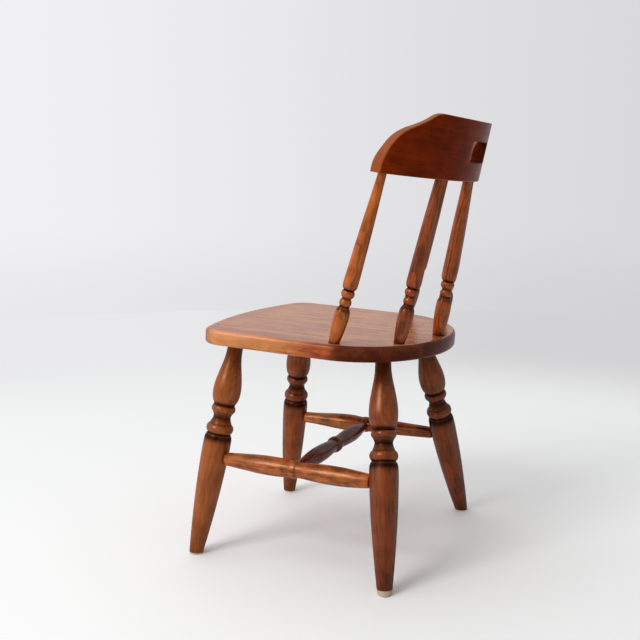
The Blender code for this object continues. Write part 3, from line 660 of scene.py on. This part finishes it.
# How much higher each spindle's rings stand, in mm, how full it is, and its stain
SPINDLE_MARKS = {"far_left": (-2.0, 0.985, -0.10), "left": (-0.3, 1.0, 0.26),
                 "centre": (2.4, 1.04, 0.12), "right": (0.9, 1.0, 0.28),
                 "far_right": (-1.0, 1.01, 0.15)}
for label, (rise, fullness, stain) in SPINDLE_MARKS.items():
    node = "spindle_" + label
    start, end = axis_ends(node)
    length = np.linalg.norm(end - start)
    depth = (SEAT_TOP_POINT - start) @ SEAT_NORMAL / ((end - start) / length @ SEAT_NORMAL)
    piece = turned(node + "_finish", (start, end), spindle_outline(depth, rise, fullness),
                   [(depth - 2 * MM, depth + 5 * MM), (depth + 38 * MM, depth + 88 * MM)],
                   stain, columns=64, extra_glaze_and_shade=lambda s: vase_shade_and_stain(s, depth, rise))
    dress(piece, SPINDLE_WOOD)
    print(node, "stands", round(depth / MM, 2), "mm deep in the seat")

# %% [markdown]
# ## Seat board
#
# A flat board with a half-oval back, straight sides, rounded front corners and a front
# that bows out a little. A curve with a bevel would do, but as a grid the outline is the
# columns and the section is the rows: out from the middle of the underside, round the
# edge, and back in over the top.

# %% The seat's outline as one line of points
HALF_WIDTH, FRONT, BACK, SIDE_END = 152 * MM, 142 * MM, 163 * MM, 50 * MM
FRONT_BOW, CORNER = 14 * MM, 30 * MM
SEAT_COLUMNS, EDGE_ROWS, FACE_ROWS = 720, 8, 40


def arc(centre, radii, start, end, count=400):
    """Points on an ellipse arc: centre + (rx cos a, ry sin a)."""
    angle = np.linspace(start, end, count)
    return np.stack([centre[0] + radii[0] * np.cos(angle),
                     centre[1] + radii[1] * np.sin(angle)], axis=-1)


def evenly(line, count):
    """A closed line's points, moved to equal distances along it."""
    closed = np.concatenate([line, line[:1]])
    walked = np.concatenate([[0], np.cumsum(np.linalg.norm(np.diff(closed, axis=0), axis=1))])
    stops = np.linspace(0, walked[-1], count, endpoint=False)
    return np.stack([np.interp(stops, walked, closed[:, k]) for k in range(2)], axis=-1)


def outward(line):
    """Unit normals of a closed line that runs anticlockwise."""
    along = np.roll(line, -1, axis=0) - np.roll(line, 1, axis=0)
    normal = np.stack([along[:, 1], -along[:, 0]], axis=-1)
    return normal / np.linalg.norm(normal, axis=1, keepdims=True)


inner = HALF_WIDTH - CORNER
bow_radius = (inner ** 2 + FRONT_BOW ** 2) / (2 * FRONT_BOW)
bow_middle = bow_radius - FRONT
corner_y = bow_middle - math.sqrt((bow_radius - CORNER) ** 2 - inner ** 2)
touch = math.atan2(corner_y - bow_middle, inner)
seat_line = evenly(np.concatenate([
    arc((0, SIDE_END), (HALF_WIDTH, BACK - SIDE_END), 0, math.pi),
    arc((-inner, corner_y), (CORNER, CORNER), -math.pi, -math.pi - touch),
    arc((0, bow_middle), (bow_radius, bow_radius), -math.pi - touch, touch),
    arc((inner, corner_y), (CORNER, CORNER), touch, 0),
]), SEAT_COLUMNS)

# %% The seat's section, carried round the outline
EDGE_TOP, EDGE_BOTTOM = 5.4 * MM, 4.4 * MM
quarter = np.linspace(0, math.pi / 2, EDGE_ROWS)
spread = np.linspace(0.01, 1, FACE_ROWS)
inset = np.concatenate([EDGE_BOTTOM * (1 - np.sin(quarter)), EDGE_TOP * (1 - np.cos(quarter))])
height = np.concatenate([EDGE_BOTTOM * (1 - np.cos(quarter)),
                         SEAT_THICKNESS - EDGE_TOP * (1 - np.sin(quarter))])
rim = seat_line[None] - inset[:, None, None] * outward(seat_line)[None]
seat_centre = np.array([0.0, SIDE_END / 2])
under = seat_centre + (rim[0] - seat_centre) * spread[:-1, None, None]
over = seat_centre + (rim[-1] - seat_centre) * spread[-2::-1, None, None]
flat = np.concatenate([under, rim, over])
level = np.concatenate([np.zeros(len(under)), height, np.full(len(over), SEAT_THICKNESS)])
level = np.broadcast_to(level[:, None], flat.shape[:2])
grid = (SEAT_ORIGIN + flat[..., :1] * np.array([1.0, 0, 0]) + flat[..., 1:] * BACKWARDS
        + level[..., None] * SEAT_NORMAL)
# The grain runs from front to back, and the pith lay well to one side and below
blank = np.stack([flat[..., 0] + 300 * MM, level + 60 * MM + 0.03 * flat[..., 1],
                  flat[..., 1]], axis=-1)

# %% Where the seat's stain is deep, and where light, shade and highlights are painted on it
facing_back = np.abs(outward(seat_line)[:, 1])
end_grain = np.clip((facing_back - 0.03) / 0.22, 0, 1)
end_grain = end_grain ** 2 * (3 - 2 * end_grain)
on_edge = (np.abs(level - SEAT_THICKNESS / 2) < SEAT_THICKNESS / 2 - 0.4 * MM)
towards_back = np.clip((flat[..., 1] + 110 * MM) / (150 * MM), 0, 1)
# At the front the end grain begins where a corner starts to round
in_front = flat[..., 1] < 0
rounding = in_front * np.clip((facing_back - 0.15) / 0.55, 0, 1)
# End grain drinks stain, so the edge is darker where it faces the back and at the front
# corners, and palest along the sides
glaze_and_shade = on_edge * np.where(in_front, 0.45 * rounding, 0.92 * end_grain)
outwards = np.concatenate([spread[:-1], np.zeros(len(height)), spread[-2::-1]])
near_rim = np.clip((outwards - 0.7) / 0.3, 0, 1)
# Along the edge the stain mark paints shade, darker towards the back and paler at the front
# where the window's light falls, and the front corners' end grain adds to it
edge_shade_and_end_grain = -0.5 + 0.82 * towards_back ** 1.5 + 0.6 * rounding
stain = np.where(on_edge, edge_shade_and_end_grain, 0.18 * near_rim[:, None] ** 2)
# The lip and the upper part of the edge get a pink painted highlight, strongest at the
# front and the higher up, where the window's light falls
rows = np.arange(len(flat))[:, None] - len(under)
on_lip = (rows > EDGE_ROWS) & (rows < 2 * EDGE_ROWS)
high_up = level / SEAT_THICKNESS
wear_and_highlight = (0.40 * on_edge * (0.35 + 0.9 * high_up) + 0.20 * on_lip) * (1 - 0.9 * towards_back)
wear_and_highlight = wear_and_highlight * (1 - 0.85 * rounding)
piece = make_piece("seat_finish", grid, {"blank": blank, "glaze_and_shade": glaze_and_shade, "wear_and_highlight": wear_and_highlight,
                                         "stain": stain})
dress(piece, SEAT_WOOD)

# %% [markdown]
# ## Crest rail
#
# The rail is a band bent to an arc, leaning back, with its ends sawn to an ogee that
# steps up to a flat top, and a hand slot through the middle. A boolean would cut it, but
# its edges would be hard to ease. With the slot, the rail is a ring doughnut in its
# topology, so it is one closed grid: the columns go round the rail's front view, and
# the rows go out over the inner face, across the edge, back over the outer face and
# through the slot. Each face is a blend from the rail's outline to the slot's.

# %% The rail's two outlines
RAIL_RADIUS, RAIL_THICKNESS, RAIL_HEIGHT = 159 * MM, 17 * MM, 75.7 * MM
RAIL_THINNED, THINNED_FROM, THINNED_OVER = 6.5 * MM, 0.45, 0.40
RAIL_SETBACK, RAIL_RISE = 183.4 * MM, 192.4 * MM
RAIL_TILT, SAWN_SLOPE = math.radians(12.5), math.radians(4.4)
END_ANGLE = math.radians(56.95)
END_LEAN = ((0, 32), (0.15, 33.5), (0.4, 40), (1, 40))
SLOT_HALF, SLOT_HEIGHT, SLOT_CORNER = 31.8 * MM, 25.4 * MM, 4 * MM
OGEE = ((0.0, 1.0), (0.078, 0.998), (0.211, 0.982), (0.333, 0.955), (0.467, 0.908),
        (0.584, 0.846), (0.681, 0.765), (0.760, 0.670), (0.868, 0.552), (0.943, 0.484),
        (0.983, 0.431), (1.0, 0.370))
# Points along the bottom, an end, the top and the other end
COUNTS = (300, 170, 190, 170)
OUTER = RAIL_RADIUS + RAIL_THICKNESS / 2
end_x, end_y = OUTER * math.sin(END_ANGLE), OUTER * math.cos(END_ANGLE)


def end_angle(height, radius):
    """Angle round the band where the leaning end cut meets a radius, at a height."""
    share = np.clip(height / RAIL_HEIGHT, 0, 1)
    across = flowing(OGEE, share) * end_x
    lean = np.radians(flowing(END_LEAN, share))
    reach = np.cos(lean) * (across - np.tan(lean) * end_y)
    return lean + np.arcsin(reach / radius)


def bottom_height(angle, radius):
    """The underside slopes as it is sawn: its height follows the depth y."""
    return (radius * np.cos(angle) - RAIL_RADIUS) * math.tan(SAWN_SLOPE)


def rail_outline(radius):
    """Angle and height round the rail's edge at one radius: bottom, side, top, side.

    A short moving average along the closed line takes the sharpness off its corners.
    """
    corner = end_angle(np.zeros(1), radius)[0]
    low = bottom_height(corner, radius)
    share = (np.arange(n) / n for n in COUNTS)
    bottom = (2 * next(share) - 1) * corner
    rise = low + (RAIL_HEIGHT - low) * next(share)
    top = (1 - 2 * next(share)) * end_angle(np.full(1, RAIL_HEIGHT), radius)[0]
    fall = RAIL_HEIGHT + (low - RAIL_HEIGHT) * next(share)
    angle = np.concatenate([bottom, end_angle(rise, radius), top, -end_angle(fall, radius)])
    height = np.concatenate([bottom_height(bottom, radius), rise,
                             np.full(len(top), RAIL_HEIGHT), fall])
    line = np.stack([angle, height], axis=-1)
    return sum(np.roll(line, shift, axis=0) for shift in (-1, 0, 1)) / 3


def slot_outline(radius):
    """Angle and height round the slot: a rounded box, cut straight through the band.

    Each side runs from mid corner to mid corner. A point is the distance along, held
    between the corners, plus the corner radius turned by what is left over.
    """
    sides = []
    sizes = (2 * SLOT_HALF, SLOT_HEIGHT) * 2
    for number, (size, count) in enumerate(zip(sizes, COUNTS)):
        straight = size - 2 * SLOT_CORNER
        corner = math.pi / 4 * SLOT_CORNER
        walked = np.arange(count) / count * (straight + 2 * corner) - corner
        along = np.clip(walked, 0, straight)
        bend = (walked - along) / SLOT_CORNER
        x = along + SLOT_CORNER * np.sin(bend) - straight / 2
        y = (sizes[number + 1 if number < 3 else 0] / 2
             - SLOT_CORNER * (1 - np.cos(bend)))
        quarter = number * math.pi / 2
        sides.append(np.stack([x * math.cos(quarter) + y * math.sin(quarter),
                               x * math.sin(quarter) - y * math.cos(quarter)], axis=-1))
    line = np.concatenate(sides)
    return np.stack([np.arcsin(line[:, 0] / radius), line[:, 1] + RAIL_HEIGHT / 2], axis=-1)

# %% The rail as one closed grid
EASED = 1.5 * MM
INNER = RAIL_RADIUS - RAIL_THICKNESS / 2
step = np.linspace(0, math.pi / 2, 6)
face = np.linspace(0, 1, 18)[1:-1]
wall = np.linspace(INNER + EASED, OUTER - EASED, 6)[1:-1]
inset = EASED * (1 - np.sin(step))
sink = EASED * (1 - np.cos(step))
still = np.zeros(len(wall))
full = np.full(len(face), EASED)
at_rim, at_slot = np.zeros(len(step)), np.ones(len(step))
# Each stretch of rows: its radius, its inset, and its share of the way to the slot
radius, rim_inset, to_slot = (np.concatenate(part) for part in zip(
    (np.full(len(face), INNER), full, 1 - face), (INNER + sink, inset, at_rim),
    (wall, still, still), ((OUTER - sink)[::-1], inset[::-1], at_rim),
    (np.full(len(face), OUTER), full, face), (OUTER - sink, inset, at_slot),
    (wall[::-1], still, still + 1), ((INNER + sink)[::-1], inset[::-1], at_slot)))
rail = np.array([rail_outline(r) for r in radius])
slot = np.array([slot_outline(r) for r in radius])
scale = np.array([RAIL_RADIUS, 1.0])
chord = (slot - rail) * scale
distance = np.linalg.norm(chord, axis=-1)
# A chord that meets an outline askew goes further, so that the inset is square to it
unit = chord[0] / distance[0][:, None]
rail_share, slot_share = (
    rim_inset[:, None] / (distance * np.clip(-(unit * outward(edge[0] * scale)).sum(axis=-1),
                                             0.35, 1)) for edge in (rail, slot))
blend = to_slot[:, None] * (1 - slot_share) + (1 - to_slot[:, None]) * rail_share
angle, up = np.moveaxis(rail + (slot - rail) * blend[..., None], -1, 0)
# The rail is sawn thinner towards its top, all from the inner face
high = np.clip((up / RAIL_HEIGHT - THINNED_FROM) / THINNED_OVER, 0, 1)
high = high ** 2 * (3 - 2 * high)
spread_out = radius[:, None] + RAIL_THINNED * high * (OUTER - radius[:, None]) / RAIL_THICKNESS
deep = spread_out * np.cos(angle) - RAIL_RADIUS
seat_rise = BACKWARDS[2] / BACKWARDS[1]
top_over_feet = SEAT_TOP_POINT[2] + (FEET_MIDDLE - SEAT_TOP_POINT[1]) * seat_rise
grid = np.stack([
    spread_out * np.sin(angle),
    FEET_MIDDLE + RAIL_SETBACK + deep * math.cos(RAIL_TILT) + up * math.sin(RAIL_TILT),
    top_over_feet + RAIL_RISE - deep * math.sin(RAIL_TILT) + up * math.cos(RAIL_TILT)],
    axis=-1)
# The grain runs along the band, and the pith lay inside the curve
blank = np.stack([radius[:, None] - RAIL_RADIUS + 70 * MM + 0 * angle, up - 30 * MM,
                  RAIL_RADIUS * angle + 0.9], axis=-1)

# %% Painted highlights and light on the rail, and its deep stain and painted shadow
# The sawn ends are painted paler than the faces, as painted light, and the eased edges get
# a painted highlight
sawn_end = np.repeat((0, 1, 0, 1), COUNTS)
wear_and_highlight = np.maximum(0.12 * (rim_inset > 0) * (rim_inset < EASED * 0.9),
                  0.20 * ((to_slot == 0) & (rim_inset < EASED * 0.5)) * sawn_end[:, None]).T
# The slot's walls took the stain deeply, and towards the outer face they are painted
# darker still, as painted shadow inside the slot
in_slot = (to_slot == 1) & (rim_inset < EASED)
glaze_and_shade = in_slot * (0.60 + 0.40 * (radius - INNER) / RAIL_THICKNESS)
piece = make_piece("crest_rail_finish", grid,
                   {"blank": blank, "glaze_and_shade": glaze_and_shade[:, None], "wear_and_highlight": wear_and_highlight}, ring=True)
dress(piece, CREST_WOOD)
low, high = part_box("crest_rail")
print("rail box differs from the packed one by",
      np.round((grid.min(axis=(0, 1)) - low) / MM, 2),
      np.round((grid.max(axis=(0, 1)) - high) / MM, 2), "mm")

# %% [markdown]
# ## The camera
#
# It stands behind the chair's left side, a little above the seat, at the photograph's
# place. Its place and direction were found by matching the feet, joints and corners.

# %% Set up the camera
AZIMUTH, ELEVATION = math.radians(113.84), math.radians(8.256)
FOCAL_PIXELS, IMAGE_PIXELS = 975.966, 640
back = Vector((math.sin(AZIMUTH) * math.cos(ELEVATION),
               -math.cos(AZIMUTH) * math.cos(ELEVATION), math.sin(ELEVATION)))
right = Vector((math.cos(AZIMUTH), math.sin(AZIMUTH), 0))
CAMERA_PLACE = Vector((1.2183, 0.5174 + FEET_MIDDLE, 0.4949))
camera_data = bpy.data.cameras.new("camera")
camera_data.sensor_width = 36.0
camera_data.lens = camera_data.sensor_width * FOCAL_PIXELS / IMAGE_PIXELS
camera_data.clip_start = 0.01
camera = bpy.data.objects.new("camera", camera_data)
bpy.context.scene.collection.objects.link(camera)
camera.matrix_world = Matrix.Translation(CAMERA_PLACE) @ Matrix(
    (right, back.cross(right), back)).transposed().to_4x4()
bpy.context.scene.camera = camera
print("camera stands", round(CAMERA_PLACE.length, 3), "m from the middle of the floor")

# %% [markdown]
# ## Floor, backdrop and light
#
# A white studio: a pale floor that fades into the wall's colour with no visible edge, a
# tall soft window to the camera's left, a weak skylight, and soft light from the room.
# The fade is in the floor's material, by distance from the chair, so it looks the same
# from anywhere.

# %% The wall's colour, and who sees it
WALL_LEFT, WALL_RIGHT = "#f1f1f3", "#dad9db"
# The backdrop is painted this much darker below the horizon, as painted shade at the foot of
# the wall
FOOT_OF_WALL = 0.93


def wall_colour(tree, direction, shade=1.0):
    """The wall's colour by direction: paler towards the window, greyer away from it."""
    turned_to = add(tree, "VectorMath", (direction, tuple(right)), "Value",
                    operation="DOT_PRODUCT")
    share = add(tree, "MapRange", (turned_to, -0.35, 0.35), **SMOOTH)
    colour = add(tree, "Mix", {0: share, 6: linear(WALL_LEFT),
                               7: linear(WALL_RIGHT)}, 2, data_type="RGBA")
    return add(tree, "VectorMath", {0: colour, 3: shade}, operation="SCALE")


def sees_backdrop(tree):
    """1 for a ray from the camera or sent on by a glossy or clear surface, else 0."""
    rays = add(tree, "LightPath").node.outputs
    sent_on = add(tree, "Math", (rays["Is Glossy Ray"], rays["Is Transmission Ray"]),
                  operation="MAXIMUM")
    return add(tree, "Math", (rays["Is Camera Ray"], sent_on), operation="MAXIMUM")

# %% The floor's material
# Matt paint: an even, nearly white floor with no gleam, which shows only the shadow
FADE_FROM, FADE_TO = 0.90, 1.60
floor_material = bpy.data.materials.new("matt_painted_floor")
floor_material.use_nodes = True
tree = floor_material.node_tree
paint = tree.nodes["Principled BSDF"]
paint.inputs["Base Color"].default_value = linear("#f5f6f6")
paint.inputs["Roughness"].default_value = 0.7
paint.inputs["Specular IOR Level"].default_value = 0.2
place = add(tree, "TexCoord", output="Object")
heading = add(tree, "VectorMath", (place,), operation="NORMALIZE")
away = add(tree, "VectorMath", (place,), "Value", operation="LENGTH")
fade = add(tree, "MapRange", (away, FADE_FROM, FADE_TO), **SMOOTH)
fade = add(tree, "Math", (fade, sees_backdrop(tree)), operation="MULTIPLY")
glow = add(tree, "Emission", {"Color": wall_colour(tree, heading, FOOT_OF_WALL)})
mixed = add(tree, "MixShader", (fade, paint.outputs[0], glow))
tree.links.new(mixed, tree.nodes["Material Output"].inputs["Surface"])

# %% Lay the floor
FLOOR_SPOKES = 96
floor_radii = np.linspace(0.06, 2.4, 40)
floor_turn = np.linspace(0, math.tau, FLOOR_SPOKES, endpoint=False)
floor_points = np.concatenate([[[0, 0, 0]], np.stack(
    [floor_radii[:, None] * np.cos(floor_turn), floor_radii[:, None] * np.sin(floor_turn),
     np.zeros((len(floor_radii), FLOOR_SPOKES))], axis=-1).reshape(-1, 3)])
ring_start = 1 + FLOOR_SPOKES * np.arange(len(floor_radii) - 1)[:, None]
next_ring = ring_start + FLOOR_SPOKES
spot = np.arange(FLOOR_SPOKES)[None]
following = (spot + 1) % FLOOR_SPOKES
floor_quads = np.stack([ring_start + spot, next_ring + spot, next_ring + following,
                        ring_start + following], axis=-1).reshape(-1, 4)
floor_fan = np.stack([0 * spot, 1 + spot, 1 + following], axis=-1).reshape(-1, 3)
floor_mesh = bpy.data.meshes.new("floor")
floor_mesh.from_pydata(floor_points.tolist(), [], floor_quads.tolist() + floor_fan.tolist())
floor_mesh.materials.append(floor_material)
floor = bpy.data.objects.new("floor", floor_mesh)
bpy.context.scene.collection.objects.link(floor)
print("floor reaches", floor_radii[-1], "m out")

# %% Light the studio
LAMP_DISTANCE = 4.2
CHAIR_MIDDLE = Vector((0, 0, 0.3))


def soft_window(name, azimuth, elevation, size, power):
    """A rectangular lamp that looks at the chair: degrees, metres and watts."""
    data = bpy.data.lights.new(name, "AREA")
    data.shape = "RECTANGLE"
    data.size, data.size_y = size
    data.energy = power
    lamp = bpy.data.objects.new(name, data)
    lamp.visible_camera = False
    bpy.context.scene.collection.objects.link(lamp)
    turn, tilt = math.radians(azimuth), math.radians(elevation)
    towards = Vector((math.sin(turn) * math.cos(tilt), -math.cos(turn) * math.cos(tilt),
                      math.sin(tilt)))
    lamp.location = CHAIR_MIDDLE + towards * LAMP_DISTANCE
    lamp.rotation_euler = towards.to_track_quat("Z", "Y").to_euler()
    print(name, "gives", power, "W")


soft_window("window", 64, 34, (1.6, 2.0), 79.0)
soft_window("skylight", 50, 62, (2.6, 1.8), 7.0)

# %% The room's own light, and the wall behind the chair
world = bpy.data.worlds.new("studio")
bpy.context.scene.world = world
world.use_nodes = True
tree = world.node_tree
heading = add(tree, "TexCoord", output="Generated")
# Behind the camera and to its right the room is dim, so surfaces that face that way
# keep their depth of colour
dim_way = Vector((back.x, back.y, 0)).normalized() * 0.5 + right * 0.85
behind = add(tree, "VectorMath", (heading, tuple(dim_way.normalized())), "Value",
             operation="DOT_PRODUCT")
lit = add(tree, "MapRange", (behind, 0.38, -0.70, 0.07, 0.98), **SMOOTH)
# The ceiling is the brightest part of the room
height = add(tree, "VectorMath", (heading, (0, 0, 1)), "Value", operation="DOT_PRODUCT")
ceiling = add(tree, "MapRange", (height, 0.45, 0.95, 0.0, 0.58), **SMOOTH)
bright = add(tree, "Math", (lit, ceiling), operation="ADD")
room = tree.nodes["Background"]
room.inputs["Color"].default_value = (1, 1, 1, 1)
tree.links.new(bright, room.inputs["Strength"])
# The camera and every reflection see the wall. The dim and bright parts of the room only
# light the chair
shade = add(tree, "MapRange", (height, -0.13, -0.04, FOOT_OF_WALL, 1.0), **SMOOTH)
wall = add(tree, "Background", {"Color": wall_colour(tree, heading, shade)})
mixed = add(tree, "MixShader", (sees_backdrop(tree), room.outputs[0], wall))
tree.links.new(mixed, tree.nodes["World Output"].inputs["Surface"])
bpy.context.scene.view_settings.view_transform = "Standard"

# %% Update the scene
bpy.context.view_layer.update()
